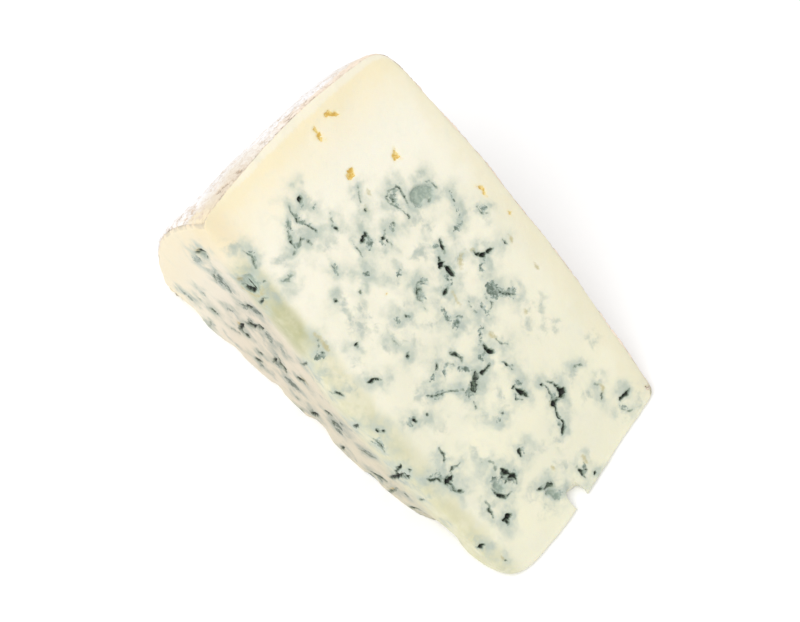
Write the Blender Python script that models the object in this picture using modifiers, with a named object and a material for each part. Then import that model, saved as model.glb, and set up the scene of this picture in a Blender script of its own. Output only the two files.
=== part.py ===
"""A wedge of ripe blue-veined cheese, lying on one of its two radial cuts.

The wheel's axis runs along Y. The wedge is a sector of one end slice of the wheel: the thin tip edge points to +X,
the cylindrical rind to -X, the wheel's flat rinded end to +Y, and the cut that freed the slice to -Y.
Metres, +Z up. The origin is at the middle of the footprint's bounding box, on the surface the wedge lies on.

Within the wedge a place is given by its radius (from the wheel's axis), its height along that axis (from the cut
end) and its sweep (0 on the lower radial cut, 1 on the upper one).
"""

import math

import bmesh
import bpy
from mathutils import Vector, noise

MM = 0.001

# The wheel and the cuts
WHEEL_RADIUS = 102.4 * MM
BARREL_RISE = 0.6 * MM  # the side stands out by this at the upper cut
BARREL_DROP = 3.2 * MM  # and falls away by this from there towards the cut end
SIDE_DENT = 0.9 * MM  # halfway up the side, not far from the cut end
SIDE_DENT_HEIGHT = 11 * MM
SIDE_DENT_SPREAD = 9 * MM
SLICE_HEIGHT = 55.3 * MM
WEDGE_ANGLE = math.radians(38.0)
TIP_OVERRUN = 5.6 * MM  # at the cut end the cuts meet this far past the axis
TIP_UNDERRUN = 0.6 * MM  # and at the rinded end about this far before it
TIP_TURN = (9 * MM, 62 * MM)  # the way along the axis over which the one turns into the other
TIP_THICKNESS = 1.4 * MM

# How far the two ends are from flat
RINDED_END_CROWN = 2.7 * MM
CUT_END_LEAN = 0.4 * MM  # the lower edge stands out further than the upper one
CUT_END_BULGE = 1.5 * MM
CUT_END_BULGE_RADIUS = 36 * MM
CUT_END_BULGE_SPREAD = 20 * MM
CUT_END_LIP = 2.4 * MM  # the paste stands further out in one place under the upper cut
CUT_END_LIP_RADIUS = 51 * MM
CUT_END_LIP_SPREAD = 9 * MM
CUT_END_FLARE = 1.1 * MM  # the paste stands further out halfway up the rind
CUT_END_FLARE_SPREAD = 12 * MM

# Corners of the slice's outline, each a quarter circle
TIP_CORNER_AT_CUT_END = 7.4 * MM
TIP_CORNER_AT_RIND = 1.0 * MM
RIND_CORNER_AT_CUT_END = 1.4 * MM
RIND_SHOULDER = 5.2 * MM
RIM_ROUNDING = 1.6 * MM  # where the radial cuts meet the sides

# A crumb broken out of the tip edge
CHIP_RADIUS = 2.05 * MM
CHIP_HEIGHT_ALONG_TIP = 25.5 * MM
CHIP_CENTRE_RADIUS = -3.9 * MM
CHIP_STRETCH = 1.25  # deeper than it is wide
CHIP_CUTTER_LENGTH = 20 * MM

# Unevenness of the paste: (depth, width of one lump)
SLOW_LUMPS = (0.7 * MM, 22 * MM)
QUICK_LUMPS = (0.3 * MM, 7 * MM)

# Grid lines along the radius, the axis and the sweep
CUTS = (35, 21, 11)

PASTE_COLOUR = (0.86, 0.81, 0.62, 1.0)
RIND_COLOUR = (0.72, 0.62, 0.53, 1.0)


def empty_scene():
    for obj in list(bpy.data.objects):
        bpy.data.objects.remove(obj, do_unlink=True)


def finish(name, colour, roughness):
    material = bpy.data.materials.new(name)
    material.use_nodes = True
    shader = material.node_tree.nodes["Principled BSDF"]
    shader.inputs["Base Color"].default_value = colour
    shader.inputs["Roughness"].default_value = roughness
    shader.inputs["Metallic"].default_value = 0.0
    material.diffuse_color = colour
    return material


def bump(value, centre, spread):
    """1 at the centre, falling smoothly to 0 about two spreads away."""
    return math.exp(-(((value - centre) / spread) ** 2))


def halfway(sweep):
    """1 midway between the cuts, and 0 at each of them."""
    return 4 * sweep * (1 - sweep)


def tip_radius(height):
    start, end = TIP_TURN
    share = min(max((height - start) / (end - start), 0), 1)
    return (TIP_OVERRUN + TIP_UNDERRUN) * share**2 * (3 - 2 * share) - TIP_OVERRUN


def rind_radius(height, sweep):
    middle = 0.6 * SLICE_HEIGHT
    drop = BARREL_DROP * ((height - middle) / middle) ** 2
    dent = SIDE_DENT * bump(height, SIDE_DENT_HEIGHT, SIDE_DENT_SPREAD) * halfway(sweep)
    return WHEEL_RADIUS + BARREL_RISE * sweep**2 - drop * sweep**3 - dent


def cut_end_height(radius, sweep):
    bulge = CUT_END_BULGE * bump(radius, CUT_END_BULGE_RADIUS, CUT_END_BULGE_SPREAD) * (1 - 0.45 * sweep)
    lip = CUT_END_LIP * bump(radius, CUT_END_LIP_RADIUS, CUT_END_LIP_SPREAD) * sweep**3
    flare = CUT_END_FLARE * bump(radius, WHEEL_RADIUS, CUT_END_FLARE_SPREAD) * halfway(sweep)
    return -CUT_END_LEAN * (1 - sweep) - bulge - lip - flare


def rinded_end_height(radius):
    middle = 0.46 * WHEEL_RADIUS
    return SLICE_HEIGHT + RINDED_END_CROWN * (1 - ((radius - middle) / (0.56 * WHEEL_RADIUS)) ** 2)


def round_corners(across, along, length, width):
    """Moves a point of a length by width rectangle so that the rectangle's corners become quarter circles."""
    corners = (
        (0, 0, TIP_CORNER_AT_CUT_END),
        (0, width, TIP_CORNER_AT_RIND),
        (length, 0, RIND_CORNER_AT_CUT_END),
        (length, width, RIND_SHOULDER),
    )
    for corner_across, corner_along, rounding in corners:
        centre_across = min(max(across, rounding), length - rounding)
        centre_along = min(max(along, rounding), width - rounding)
        off_across = across - centre_across
        off_along = along - centre_along
        near = abs(across - corner_across) < rounding and abs(along - corner_along) < rounding
        if near and off_across and off_along:
            shrink = max(abs(off_across), abs(off_along)) / math.hypot(off_across, off_along)
            return centre_across + off_across * shrink, centre_along + off_along * shrink
    return across, along


def wedge_point(u, v, sweep):
    """The wedge's point for u from tip to rind, v from cut end to rinded end, and sweep from lower to upper cut."""
    length = WHEEL_RADIUS + TIP_OVERRUN
    across, along = round_corners(u * length, v * SLICE_HEIGHT, length, SLICE_HEIGHT)
    share = across / length
    tip = tip_radius(along)
    rind = rind_radius(along, sweep)
    radius = tip + share * (rind - tip)
    low = cut_end_height(radius, sweep)
    high = rinded_end_height(radius)
    height = low + (high - low) * along / SLICE_HEIGHT
    angle = sweep * WEDGE_ANGLE
    nose = 0.5 * TIP_THICKNESS
    tip_point = Vector((-tip + nose * math.sin(math.pi * sweep), height, nose * (1 - math.cos(math.pi * sweep))))
    rind_point = Vector((-rind * math.cos(angle), height, rind * math.sin(angle)))
    return tip_point.lerp(rind_point, share)


def gridded_block():
    """A unit block from (0, 0, 0) to (1, 1, 1) with grid lines on every side."""
    mesh = bmesh.new()
    bmesh.ops.create_cube(mesh, size=1)
    bmesh.ops.translate(mesh, verts=mesh.verts, vec=(0.5, 0.5, 0.5))
    for axis, count in enumerate(CUTS):
        along = [edge for edge in mesh.edges if abs(edge.verts[0].co[axis] - edge.verts[1].co[axis]) > 0.5]
        bmesh.ops.subdivide_edges(mesh, edges=along, cuts=count, use_grid_fill=True)
    return mesh


def is_rim(edge):
    """Whether an edge runs along the border of a radial cut, away from the tip."""
    places = [vert.co for vert in edge.verts]
    on_cut = all(place.z < 1e-4 for place in places) or all(place.z > 1 - 1e-4 for place in places)
    at_end = all(place.y < 1e-4 for place in places) or all(place.y > 1 - 1e-4 for place in places)
    at_rind = all(place.x > 1 - 1e-4 for place in places)
    return on_cut and (at_end or at_rind)


def weigh_rims(mesh):
    """Gives each rim edge a bevel weight that fits the spacing of the grid there."""
    weights = mesh.edges.layers.float.new("bevel_weight_edge")
    for edge in mesh.edges:
        if is_rim(edge):
            share = 0.5 * (edge.verts[0].co.x + edge.verts[1].co.x)
            spacing = share * WHEEL_RADIUS * WEDGE_ANGLE / (CUTS[2] + 1)
            edge[weights] = min(1.0, 0.7 * spacing / RIM_ROUNDING)


def lump(place, lumps):
    depth, width = lumps
    return depth * noise.noise(place / width)


def make_uneven(mesh):
    """Lifts and sinks the sides a little, and leaves the flat underside alone."""
    mesh.normal_update()
    moves = []
    for vert in mesh.verts:
        if vert.co.z < 1e-6:
            continue
        above_base = min(1.0, vert.co.z / (3 * MM))
        shift = lump(vert.co, SLOW_LUMPS) + lump(vert.co + Vector((1, 1, 1)), QUICK_LUMPS)
        moves.append((vert, vert.normal * shift * above_base))
    for vert, move in moves:
        vert.co += move
        vert.co.z = max(vert.co.z, 0.0)


def stand_on_origin(mesh):
    """Moves the wedge so that the origin is under the middle of its bounding box. Returns the move."""
    middle = [0.5 * (min(v.co[i] for v in mesh.verts) + max(v.co[i] for v in mesh.verts)) for i in (0, 1)]
    move = Vector((-middle[0], -middle[1], 0))
    bmesh.ops.translate(mesh, verts=mesh.verts, vec=move)
    return move


def paint_rind(mesh):
    """Material 1 on the cylindrical side and the wheel's flat end."""
    for face in mesh.faces:
        middle = face.calc_center_median()
        on_side = abs(middle.x - 1) < 1e-4
        on_end = abs(middle.y - 1) < 1e-4
        face.material_index = 1 if on_side or on_end else 0


def add_object(name, mesh, collection):
    data = bpy.data.meshes.new(name)
    mesh.to_mesh(data)
    mesh.free()
    obj = bpy.data.objects.new(name, data)
    collection.objects.link(obj)
    return obj


def add_wedge(collection):
    mesh = gridded_block()
    weigh_rims(mesh)
    paint_rind(mesh)
    for vert in mesh.verts:
        vert.co = wedge_point(*vert.co)
    bmesh.ops.recalc_face_normals(mesh, faces=mesh.faces)
    make_uneven(mesh)
    move = stand_on_origin(mesh)
    wedge = add_object("cheese_wedge", mesh, collection)
    wedge.data.materials.append(finish("paste", PASTE_COLOUR, 0.45))
    wedge.data.materials.append(finish("rind", RIND_COLOUR, 0.8))
    rims = wedge.modifiers.new("rounded rims", "BEVEL")
    rims.limit_method = "WEIGHT"
    rims.width = RIM_ROUNDING
    rims.segments = 2
    return wedge, move


def add_chip_cutter(collection, move):
    """An upright cylinder that takes the crumb out of the tip edge."""
    mesh = bmesh.new()
    bmesh.ops.create_cone(
        mesh,
        cap_ends=True,
        segments=20,
        radius1=CHIP_RADIUS,
        radius2=1.15 * CHIP_RADIUS,
        depth=CHIP_CUTTER_LENGTH,
    )
    bmesh.ops.scale(mesh, verts=mesh.verts, vec=(CHIP_STRETCH, 1.0, 1.0))
    place = Vector((-CHIP_CENTRE_RADIUS, CHIP_HEIGHT_ALONG_TIP, 0)) + move
    bmesh.ops.translate(mesh, verts=mesh.verts, vec=place)
    cutter = add_object("chip_cutter", mesh, collection)
    cutter.hide_render = True
    cutter.display_type = "WIRE"
    return cutter


def main():
    empty_scene()
    parts = bpy.data.collections.new("cheese")
    cutters = bpy.data.collections.new("cutters")
    bpy.context.scene.collection.children.link(parts)
    bpy.context.scene.collection.children.link(cutters)
    wedge, move = add_wedge(parts)
    chip = wedge.modifiers.new("chip", "BOOLEAN")
    chip.object = add_chip_cutter(cutters, move)
    chip.operation = "DIFFERENCE"
    wedge.data.shade_smooth()
    wedge.data.set_sharp_from_angle(angle=math.radians(35))


main()
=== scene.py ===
"""The looks of a wedge of blue-veined cheese: its paste, with veins, slits and eyes, and its dry rind."""

import math
import random

import bpy
import numpy as np
from mathutils import Matrix, Vector, noise
from mathutils.bvhtree import BVHTree


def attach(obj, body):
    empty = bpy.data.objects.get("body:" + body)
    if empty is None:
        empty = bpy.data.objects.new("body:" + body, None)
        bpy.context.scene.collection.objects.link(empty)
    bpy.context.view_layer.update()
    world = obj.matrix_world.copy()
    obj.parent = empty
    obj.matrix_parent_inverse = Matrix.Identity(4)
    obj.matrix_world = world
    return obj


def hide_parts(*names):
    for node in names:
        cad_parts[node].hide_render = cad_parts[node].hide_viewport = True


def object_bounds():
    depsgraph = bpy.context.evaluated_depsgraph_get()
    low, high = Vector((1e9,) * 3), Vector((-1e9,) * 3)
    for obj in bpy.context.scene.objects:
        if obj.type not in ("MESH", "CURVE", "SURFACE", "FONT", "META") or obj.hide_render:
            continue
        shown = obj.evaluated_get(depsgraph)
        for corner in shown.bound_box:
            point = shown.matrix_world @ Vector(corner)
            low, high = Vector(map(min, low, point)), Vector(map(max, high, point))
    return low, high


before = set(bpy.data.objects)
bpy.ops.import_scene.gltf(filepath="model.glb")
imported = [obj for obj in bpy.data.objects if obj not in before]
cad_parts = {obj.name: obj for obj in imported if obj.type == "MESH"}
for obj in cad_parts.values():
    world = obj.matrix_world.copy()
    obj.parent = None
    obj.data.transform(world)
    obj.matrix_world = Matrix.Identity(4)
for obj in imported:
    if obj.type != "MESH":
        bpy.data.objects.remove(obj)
cad_low, cad_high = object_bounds()

MM = 0.001
SEED = 7

# The wedge lies on its lower cut. The wheel's axis runs along Y at the thin tip edge. The rinded side faces
# -X, the rinded flat end +Y and the cut end -Y. A place has a radius from the axis and a way along it, which
# starts at the cut end.
WEDGE_ANGLE = math.radians(38.0)
AXIS_X = cad_high.x - 6.4 * MM
CUT_END_Y = cad_low.y + 2.85 * MM
UP_THE_CUT = Vector((-math.cos(WEDGE_ANGLE), 0, math.sin(WEDGE_ANGLE)))
OUT_OF_UPPER_CUT = Vector((math.sin(WEDGE_ANGLE), 0, math.cos(WEDGE_ANGLE)))
OUT_OF_CUT_END = Vector((0, -1, 0))
OUT_OF_LOWER_CUT = Vector((0, 0, -1))
SIDE_RADIUS = 60 * MM  # the rinded side lies further out than this
FLAT_END_Y = cad_high.y - 9 * MM  # the rinded flat end lies past this
CUT_END_FADE = (CUT_END_Y + 9 * MM, CUT_END_Y + 6 * MM)  # the skin counts as the cut end's past the second
PAINTED_SHADE_FADE = (1 * MM, 10 * MM)  # the painted shade on the cut end sets in over these depths below the upper cut
CREASE_WIDTH = 12 * MM  # where the upper cut meets the cut end, the edge is softened this far
CREASE_FADE = (99 * MM, 90 * MM)  # the radii over which that sets in
CREASE_ROUNDS = 15  # of smoothing, and four times as many for each subdivision

RIND_THICKNESS = 1.3 * MM
RIND_BORDER = 0.6  # the share of rind, from 0 to 1, at which the crust ends
RIND_DIP = 0.7 * MM  # how far the border of the crust dips into the paste
RIND_EDGE = (0.1, 0.97)  # the mesh of the paste is finer between these shares
INLAND_FADE = (RIND_BORDER + 0.02, 0.78)  # the crust reaches its height over these
UNDER_RIND = 1.1 * MM  # how far the paste is sunk below the crust
SUNK_FADE = (RIND_BORDER + 0.14, 0.95)  # the shares over which it sinks
SURE_RIND = 0.7  # skin with more than this share is rind
OUTER_RADIUS = 95 * MM  # and further out than this it is on the wheel's side
BARE_TIP = (0.5 * MM, 3 * MM)  # the radii over which the crust sets in
FLAT_TIP = (4 * MM, 14 * MM)  # the radii over which its relief sets in
CRUST_STRETCH = np.array((1.0, 0.6, 1.0))  # makes its plates longer along the axis

# How noise bends the outlines of the marks and of the crust's plates, in steps of size of a wave and shift,
# both in mm, and seed
SOFT_BENDS = ((3.5, 1.8, 3.0), (1.3, 0.8, 4.0))
RAGGED_BENDS = ((2.2, 0.6, 0.0), (0.9, 0.45, 5.0))
ROUGH_BENDS = ((1.8, 0.45, 8.0), (0.7, 0.3, 9.0))
CRUST_BENDS = ((7, 4, 11.0), (1.8, 1.1, 12.0))

# Unevenness of the paste: height, size of a lump, octaves, seed
PASTE_LUMPS = ((0.14 * MM, 6 * MM, 3, 1.0), (0.05 * MM, 1.3 * MM, 2, 2.0))
PASTE_SETTLING = 0.1 * MM  # keeps the lumps from standing proud

random.seed(SEED)
noise.seed_set(SEED)

# Marks on the upper cut, in mm: half width, then places as (radius, way along the axis).
# slit: an open crack, black with dark mould and painted shadow. pit: a dark grainy hole. hollow: a wide
# shallow dip with blue mould in it.
# plate: a flat of blue mould. stain: a soft pale blue spread. eye: a golden hole. line: a fine olive line.
UPPER_SLITS = (
    (0.35, (7.9, 0.3), (7.0, 1.6)),
    (0.2, (0.6, 3.0), (1.1, 2.9)),
    (0.6, (6.4, 8.7), (7.5, 9.3), (7.4, 10.8)),
    (0.45, (7.4, 9.5), (7.9, 8.2)),
    (0.18, (9.8, 7.0), (11.5, 7.4), (12.4, 8.1), (13.9, 7.9)),
    (0.36, (10.9, 13.8), (10.8, 12.6), (11.9, 11.6), (13.3, 11.1), (14.8, 10.9)),
    (0.5, (14.0, 16.1), (16.3, 15.6)),
    (0.38, (13.2, 13.9), (13.8, 15.2), (13.1, 16.8), (11.3, 16.5)),
    (0.08, (16.8, 14.1), (18.5, 15.0), (19.6, 14.5), (20.6, 13.2)),
    (0.3, (6.8, 19.0), (5.6, 20.6)),
    (0.36, (14.6, 20.9), (15.7, 21.1), (16.3, 21.8)),
    (0.3, (24.6, 23.5), (24.9, 23.9)),
    (0.24, (-0.2, 29.6), (1.6, 29.4), (3.5, 29.3)),
    (0.34, (0.8, 30.2), (1.4, 30.9)),
    (0.34, (-1.4, 32.0), (-1.0, 31.5)),
    (0.36, (11.2, 31.4), (12.2, 33.6), (14.8, 33.7), (16.8, 34.5), (18.0, 34.9)),
    (0.55, (16.6, 34.5), (18.0, 35.0)),
    (0.34, (17.8, 35.0), (17.2, 36.9)),
    (0.8, (16.9, 37.3), (18.1, 38.2)),
    (0.45, (18.0, 37.9), (19.4, 37.7)),
    (0.4, (17.9, 38.0), (18.1, 39.3)),
    (0.2, (19.1, 37.9), (20.6, 37.6), (22.5, 36.8)),
    (0.38, (22.3, 35.6), (22.9, 35.0)),
    (0.15, (18.2, 35.1), (20.4, 35.8), (22.2, 35.6)),
    (0.34, (9.2, 44.6), (10.2, 45.5)),
    (0.14, (12.2, 46.1), (13.2, 45.2)),
    (0.14, (19.6, 43.6), (19.2, 44.7), (18.2, 46.0)),
    (0.14, (3.9, 47.2), (2.4, 47.5), (1.9, 48.8)),
    (0.4, (5.8, 48.0), (5.6, 50.0), (5.7, 51.7)),
    (0.32, (19.0, 6.0), (20.3, 4.8), (22.5, 4.7)),
    (0.6, (22.4, 4.6), (24.1, 4.6)),
    (0.45, (23.0, 5.0), (23.4, 6.4)),
    (0.27, (23.4, 6.3), (24.4, 7.4), (24.0, 9.3)),
    (0.22, (24.0, 4.2), (25.4, 2.9), (27.0, 1.6)),
    (0.34, (26.8, 7.0), (28.3, 7.8), (29.5, 8.1)),
    (0.45, (37.3, 8.0), (38.8, 7.9)),
    (0.28, (36.4, 10.9), (37.1, 10.6)),
    (0.16, (39.8, 13.5), (38.0, 15.8)),
    (0.14, (38.2, 15.3), (37.3, 17.4), (36.4, 18.9), (35.0, 20.2)),
    (0.36, (42.2, 18.8), (43.8, 19.7)),
    (0.12, (29.6, 19.8), (31.3, 20.6)),
    (0.32, (35.0, 25.4), (34.2, 27.3), (34.8, 29.0)),
    (0.2, (39.9, 24.6), (41.4, 24.3), (42.9, 23.5)),
    (0.1, (40.2, 22.3), (41.9, 21.5)),
    (0.42, (23.3, 30.9), (25.1, 30.4), (26.6, 30.0)),
    (0.2, (25.2, 30.0), (25.7, 29.0), (24.7, 28.4), (23.8, 29.3)),
    (0.32, (26.6, 29.2), (27.4, 30.3)),
    (0.26, (30.0, 32.2), (31.4, 31.9), (33.0, 31.3)),
    (0.22, (30.5, 32.9), (31.4, 32.0)),
    (0.52, (35.9, 31.3), (37.4, 30.7), (39.0, 30.2)),
    (0.1, (35.1, 35.0), (35.8, 34.1), (37.6, 33.7)),
    (0.1, (45.0, 34.0), (46.5, 33.6), (48.3, 33.9)),
    (0.14, (42.9, 36.6), (44.0, 38.2), (45.1, 37.3), (46.6, 38.1)),
    (0.26, (44.8, 40.9), (43.2, 42.2), (41.5, 43.5)),
    (0.3, (37.3, -1.3), (39.5, -1.2), (41.5, -1.5)),
    (0.35, (29.8, -1.4), (32.0, -1.3), (33.4, -0.5)),
    (0.26, (22.3, -1.4), (23.5, -1.4)),
    (0.3, (41.9, 0.3), (42.9, 0.5)),
    (0.4, (51.6, 5.5), (50.9, 6.6), (50.0, 7.7)),
    (0.3, (49.0, 15.5), (49.8, 16.0)),
    (0.06, (49.7, 15.9), (52.0, 15.6), (54.5, 15.5)),
    (0.22, (55.2, -1.8), (53.9, -0.9), (52.9, -0.2)),
    (0.38, (58.7, 8.6), (59.2, 9.0)),
    (0.12, (62.3, 2.5), (63.1, 2.1)),
    (0.1, (64.0, 1.5), (64.8, 2.9), (65.7, 3.2)),
    (0.24, (68.4, 11.5), (69.4, 11.4)),
    (0.32, (66.1, 16.6), (66.9, 17.3)),
    (0.12, (72.4, 15.3), (73.6, 15.9), (74.8, 15.7)),
    (0.32, (55.1, 21.7), (56.5, 20.6)),
    (0.14, (54.0, 25.4), (56.8, 25.5), (58.3, 26.8), (59.0, 27.9), (58.1, 29.5)),
    (0.1, (56.0, 26.6), (56.8, 27.5), (58.0, 27.2)),
    (0.34, (53.1, 30.5), (53.5, 32.5)),
    (0.5, (54.0, 35.2), (56.5, 35.1), (58.4, 34.9)),
    (0.8, (57.4, 34.9), (58.7, 34.6)),
    (0.22, (58.5, 35.0), (59.8, 35.4)),
    (0.36, (59.7, 36.8), (61.0, 37.4), (62.2, 37.9)),
    (0.62, (53.3, 42.7), (53.0, 44.2)),
    (0.45, (53.1, 44.0), (52.7, 46.0)),
    (0.3, (53.4, 43.0), (55.0, 42.4)),
    (0.26, (51.1, 49.2), (52.2, 49.2)),
    (0.1, (58.9, 50.3), (60.1, 49.2), (61.9, 49.6)),
    (0.08, (71.5, 22.0), (73.5, 22.3), (75.9, 22.2)),
    (0.5, (74.1, 24.0), (74.4, 25.4)),
    (0.28, (73.4, 25.4), (75.1, 25.9)),
    (0.5, (70.9, 28.4), (71.8, 28.0)),
    (0.2, (68.9, 28.6), (71.0, 28.4)),
    (0.17, (71.6, 28.6), (72.3, 29.8)),
    (0.3, (77.9, 29.2), (78.8, 29.2)),
    (0.1, (70.8, 30.9), (71.4, 32.0), (72.5, 31.8)),
    (0.22, (70.5, 35.4), (71.2, 35.9)),
    (0.1, (71.6, 35.3), (74.2, 34.9), (75.7, 34.2), (77.5, 34.4)),
    (0.16, (77.4, 34.5), (77.8, 36.2)),
    (0.09, (77.8, 36.0), (77.2, 37.8), (75.4, 37.7), (72.0, 37.2)),
    (0.1, (75.2, 34.9), (75.9, 35.7), (76.7, 35.1)),
    (0.08, (70.7, 44.4), (72.5, 44.7), (73.5, 43.6)),
    (0.14, (70.1, 41.2), (70.1, 42.5)),
    (0.34, (81.4, -0.9), (83.4, -1.2), (85.4, -1.5)),
    (0.1, (85.0, 3.0), (87.0, 3.9), (88.2, 3.7), (89.7, 3.1)),
    (0.12, (79.9, 5.4), (78.6, 6.5)),
    (0.18, (79.0, 6.5), (79.1, 8.3)),
    (0.1, (79.7, 5.6), (79.4, 7.2)),
    (0.06, (81.9, 10.8), (82.4, 12.6)),
    (0.14, (82.4, 12.6), (83.5, 14.1), (82.8, 13.2)),
    (0.1, (83.0, 12.2), (85.6, 12.6), (87.7, 13.7)),
    (0.14, (87.2, 13.9), (88.4, 14.8)),
    (0.08, (80.7, 15.0), (82.4, 15.3), (83.3, 14.5)),
    (0.12, (82.3, 17.9), (85.2, 17.1), (86.3, 16.3)),
    (0.12, (85.8, 16.7), (86.5, 15.9), (87.7, 16.4)),
    (0.12, (87.5, 16.4), (90.6, 16.5)),
    (0.48, (89.2, 19.3), (90.3, 19.8)),
    (0.2, (79.5, 21.3), (80.8, 21.2)),
    (0.06, (80.7, 21.4), (82.9, 22.7)),
    (0.05, (80.4, 28.9), (83.2, 31.2)),
)

UPPER_PITS = (
    (0.7, (5.9, 20.4), (5.0, 22.1)),
    (1.0, (33.4, 22.2), (34.3, 23.9)),
    (0.8, (34.3, 24.0), (35.4, 24.9)),
    (0.6, (14.6, 14.6), (15.6, 15.6)),
    (0.6, (12.8, 16.6), (13.6, 15.4)),
    (0.5, (22.6, 4.0), (23.8, 5.2)),
    (0.5, (17.2, 38.0), (18.6, 37.8)),
    (0.45, (57.4, 26.4), (58.2, 27.2)),
)

UPPER_HOLLOWS = (
    (2.0, (72.6, 40.4), (71.9, 42.3)),
    (1.5, (82.3, 0.4), (84.4, 0.4)),
    (0.9, (13.2, 12.6), (14.8, 12.4)),
    (0.9, (4.0, 20.8), (2.2, 21.6)),
)

UPPER_PLATES = (
    (1.0, (14.6, 12.2), (16.2, 12.8)),
    (0.9, (14.4, 14.0), (15.0, 15.6)),
    (0.8, (12.4, 16.0), (13.8, 17.2)),
    (0.7, (2.2, 21.0), (1.9, 22.8)),
    (0.5, (14.9, 21.8), (16.0, 22.2)),
    (0.55, (24.3, 21.7), (24.8, 22.4)),
    (0.7, (24.6, 30.0), (26.2, 30.2)),
    (0.95, (27.4, 31.0), (26.4, 31.4)),
    (0.5, (1.0, 30.2), (2.6, 31.6)),
    (0.55, (12.0, 33.0), (13.6, 33.2)),
    (0.7, (17.2, 34.2), (18.6, 35.6)),
    (0.45, (4.4, 46.9), (3.0, 48.0)),
    (0.6, (21.4, 4.2), (22.6, 5.4)),
    (0.6, (25.0, 4.0), (26.6, 4.4)),
    (0.5, (25.4, 3.0), (26.6, 2.4)),
    (0.6, (37.8, 6.6), (38.8, 7.2)),
    (0.7, (38.6, 14.6), (37.9, 16.4)),
    (0.5, (41.5, 16.2), (41.9, 18.2)),
    (0.7, (33.0, 20.4), (33.6, 21.6)),
    (0.5, (40.8, 20.0), (42.2, 21.4)),
    (0.6, (37.0, 24.2), (39.4, 22.8)),
    (0.6, (37.2, 28.2), (37.4, 30.0)),
    (0.5, (40.4, 30.4), (42.0, 32.8)),
    (0.8, (46.4, 28.0), (47.2, 30.2)),
    (0.4, (48.2, 28.0), (51.4, 28.2)),
    (0.6, (43.4, 35.8), (45.6, 36.2)),
    (1.5, (47.2, 40.0), (45.6, 40.2)),
    (1.5, (45.8, 39.8), (44.8, 40.6)),
    (0.9, (44.8, 41.0), (42.0, 43.4)),
    (0.6, (54.0, 33.6), (55.4, 34.2)),
    (0.55, (53.6, 30.8), (54.0, 32.6)),
    (0.6, (51.2, 41.2), (52.2, 42.8)),
    (0.5, (56.2, 38.6), (56.6, 39.4)),
    (0.8, (56.4, 26.4), (58.2, 27.0)),
    (0.6, (58.4, 28.0), (58.4, 29.2)),
    (0.5, (56.2, 19.2), (56.6, 18.6)),
    (0.55, (62.2, 36.6), (61.2, 36.0)),
    (0.7, (62.8, 0.6), (62.6, 2.0)),
    (0.6, (59.6, 50.6), (61.0, 49.8)),
    (0.5, (61.2, 42.0), (61.8, 44.4)),
    (0.3, (62.2, 44.6), (65.0, 45.6), (68.2, 46.3)),
    (0.5, (67.6, 20.6), (68.8, 20.2)),
    (0.6, (63.2, 25.4), (63.8, 26.2)),
    (1.0, (71.8, 24.2), (73.2, 25.2)),
    (0.5, (70.2, 27.4), (71.2, 27.2)),
    (0.6, (71.2, 30.8), (72.2, 31.2)),
    (0.55, (73.6, 35.0), (76.4, 35.4)),
    (0.45, (76.8, 36.4), (77.2, 37.6)),
    (0.9, (71.6, 38.8), (73.4, 40.2)),
    (0.5, (79.2, 6.2), (79.6, 7.4)),
    (0.7, (83.4, 1.0), (82.0, 0.2)),
    (0.4, (86.2, 3.8), (88.6, 4.2)),
    (0.5, (83.0, 12.4), (83.4, 13.4)),
    (0.6, (86.6, 13.6), (87.8, 14.4)),
    (0.4, (84.2, 17.2), (87.0, 16.6)),
    (0.55, (88.4, 18.8), (89.2, 19.2)),
    (0.4, (86.0, 20.6), (86.5, 20.9)),
    (0.45, (73.2, 15.6), (74.4, 16.0)),
    (0.5, (38.5, -1.2), (40.4, -0.9)),
)

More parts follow.
